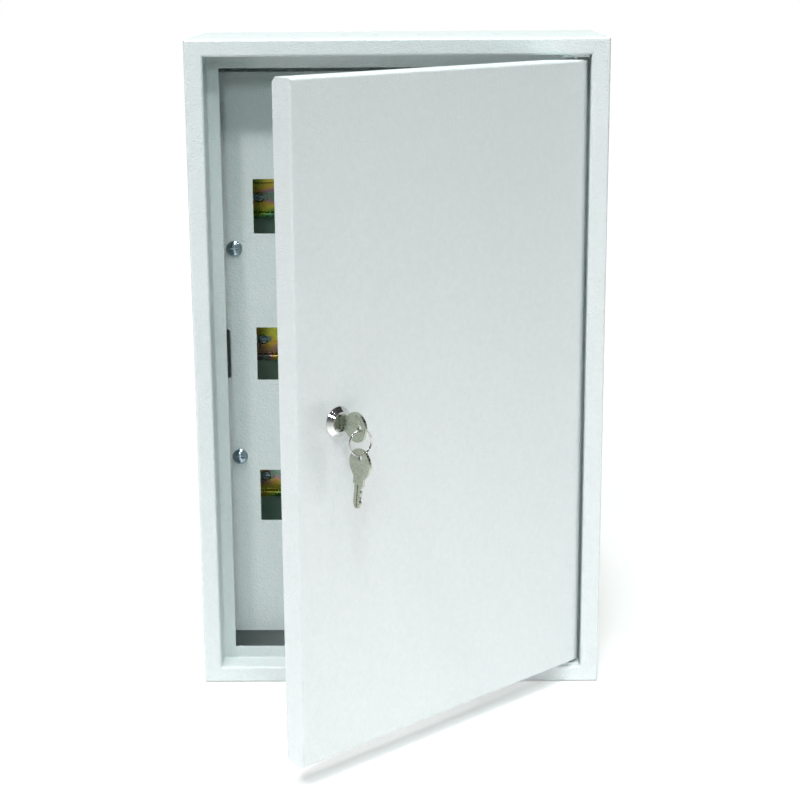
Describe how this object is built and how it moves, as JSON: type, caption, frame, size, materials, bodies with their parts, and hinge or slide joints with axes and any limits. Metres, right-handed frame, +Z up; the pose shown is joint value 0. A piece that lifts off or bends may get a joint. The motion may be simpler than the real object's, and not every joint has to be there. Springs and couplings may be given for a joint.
{
  "type": "steel wall enclosure",
  "caption": "Wall-mounted sheet-steel enclosure for rows of modular devices, with a windowed cover plate, DIN rails and a hinged door that locks with a key.",
  "frame": {"origin": "centre of the back plane, which is the centre of the wall hole pattern", "axes": "+X to the right, +Y into the wall, +Z up; the front is at -Y"},
  "size_m": [0.335, 0.3347, 0.54],
  "materials": {
    "powder_coat": "light grey textured powder coat",
    "yellow_zinc": "yellow iridescent zinc passivation",
    "blue_zinc": "bright zinc, faintly blue",
    "copper_plate": "copper-plated steel",
    "pin_steel": "bright drawn steel",
    "lock_chrome": "polished chrome",
    "plug_nickel": "satin nickel",
    "key_nickel": "nickel-plated steel"
  },
  "bodies": {
    "enclosure": {"back_panel": "powder_coat", "left_side": "powder_coat", "right_side": "powder_coat", "top_side": "powder_coat", "bottom_side": "powder_coat", "cover_plate": "powder_coat", "cover_brackets": "powder_coat", "cover_nuts": "blue_zinc", "cover_screws": "blue_zinc", "din_rail_top": "yellow_zinc", "din_rail_middle": "yellow_zinc", "din_rail_bottom": "yellow_zinc", "left_upright": "yellow_zinc", "right_upright": "yellow_zinc", "rail_screws": "blue_zinc", "earth_stud": "copper_plate", "earth_washers": "blue_zinc", "earth_nuts": "blue_zinc", "hinge_ear_upper": "powder_coat", "hinge_ear_lower": "powder_coat", "hinge_pin_upper": "pin_steel", "hinge_pin_lower": "pin_steel", "hinge_washer": "blue_zinc"},
    "door": {"door_panel": "powder_coat", "door_earth_stud": "copper_plate", "door_earth_washers": "blue_zinc", "door_earth_nuts": "blue_zinc", "lock_housing": "lock_chrome", "lock_nut": "lock_chrome"},
    "lock_barrel": {"lock_plug": "plug_nickel", "lock_cam": "blue_zinc", "cam_screw": "blue_zinc"},
    "working_key": {"working_key": "key_nickel"},
    "key_ring": {"key_ring": "key_nickel"},
    "spare_key": {"spare_key": "key_nickel"}
  },
  "joints": [
    {"name": "door_hinge", "type": "hinge", "parent": "enclosure", "child": "door", "pos_m": [0.1407, -0.132, 0], "axis": [0, 0, 1], "range_deg": [-42, 63]},
    {"name": "lock_turn", "type": "hinge", "parent": "door", "child": "lock_barrel", "pos_m": [-0.04248, -0.3077, 0.0066], "axis": [-0.6691, 0.7431, 0], "range_deg": [0, 90]},
    {"name": "key_slide", "type": "slide", "parent": "lock_barrel", "child": "working_key", "axis": [0.6691, -0.7431, 0], "range_m": [0, 0.024]},
    {"name": "ring_swing", "type": "hinge", "parent": "working_key", "child": "key_ring", "pos_m": [-0.02576, -0.32628, 0.0066], "axis": [-0.7431, -0.6691, 0], "range_deg": [-10, 60]},
    {"name": "spare_swing", "type": "hinge", "parent": "key_ring", "child": "spare_key", "pos_m": [-0.02576, -0.32628, -0.0148], "axis": [-0.7431, -0.6691, 0], "range_deg": [-6, 20]}
  ]
}
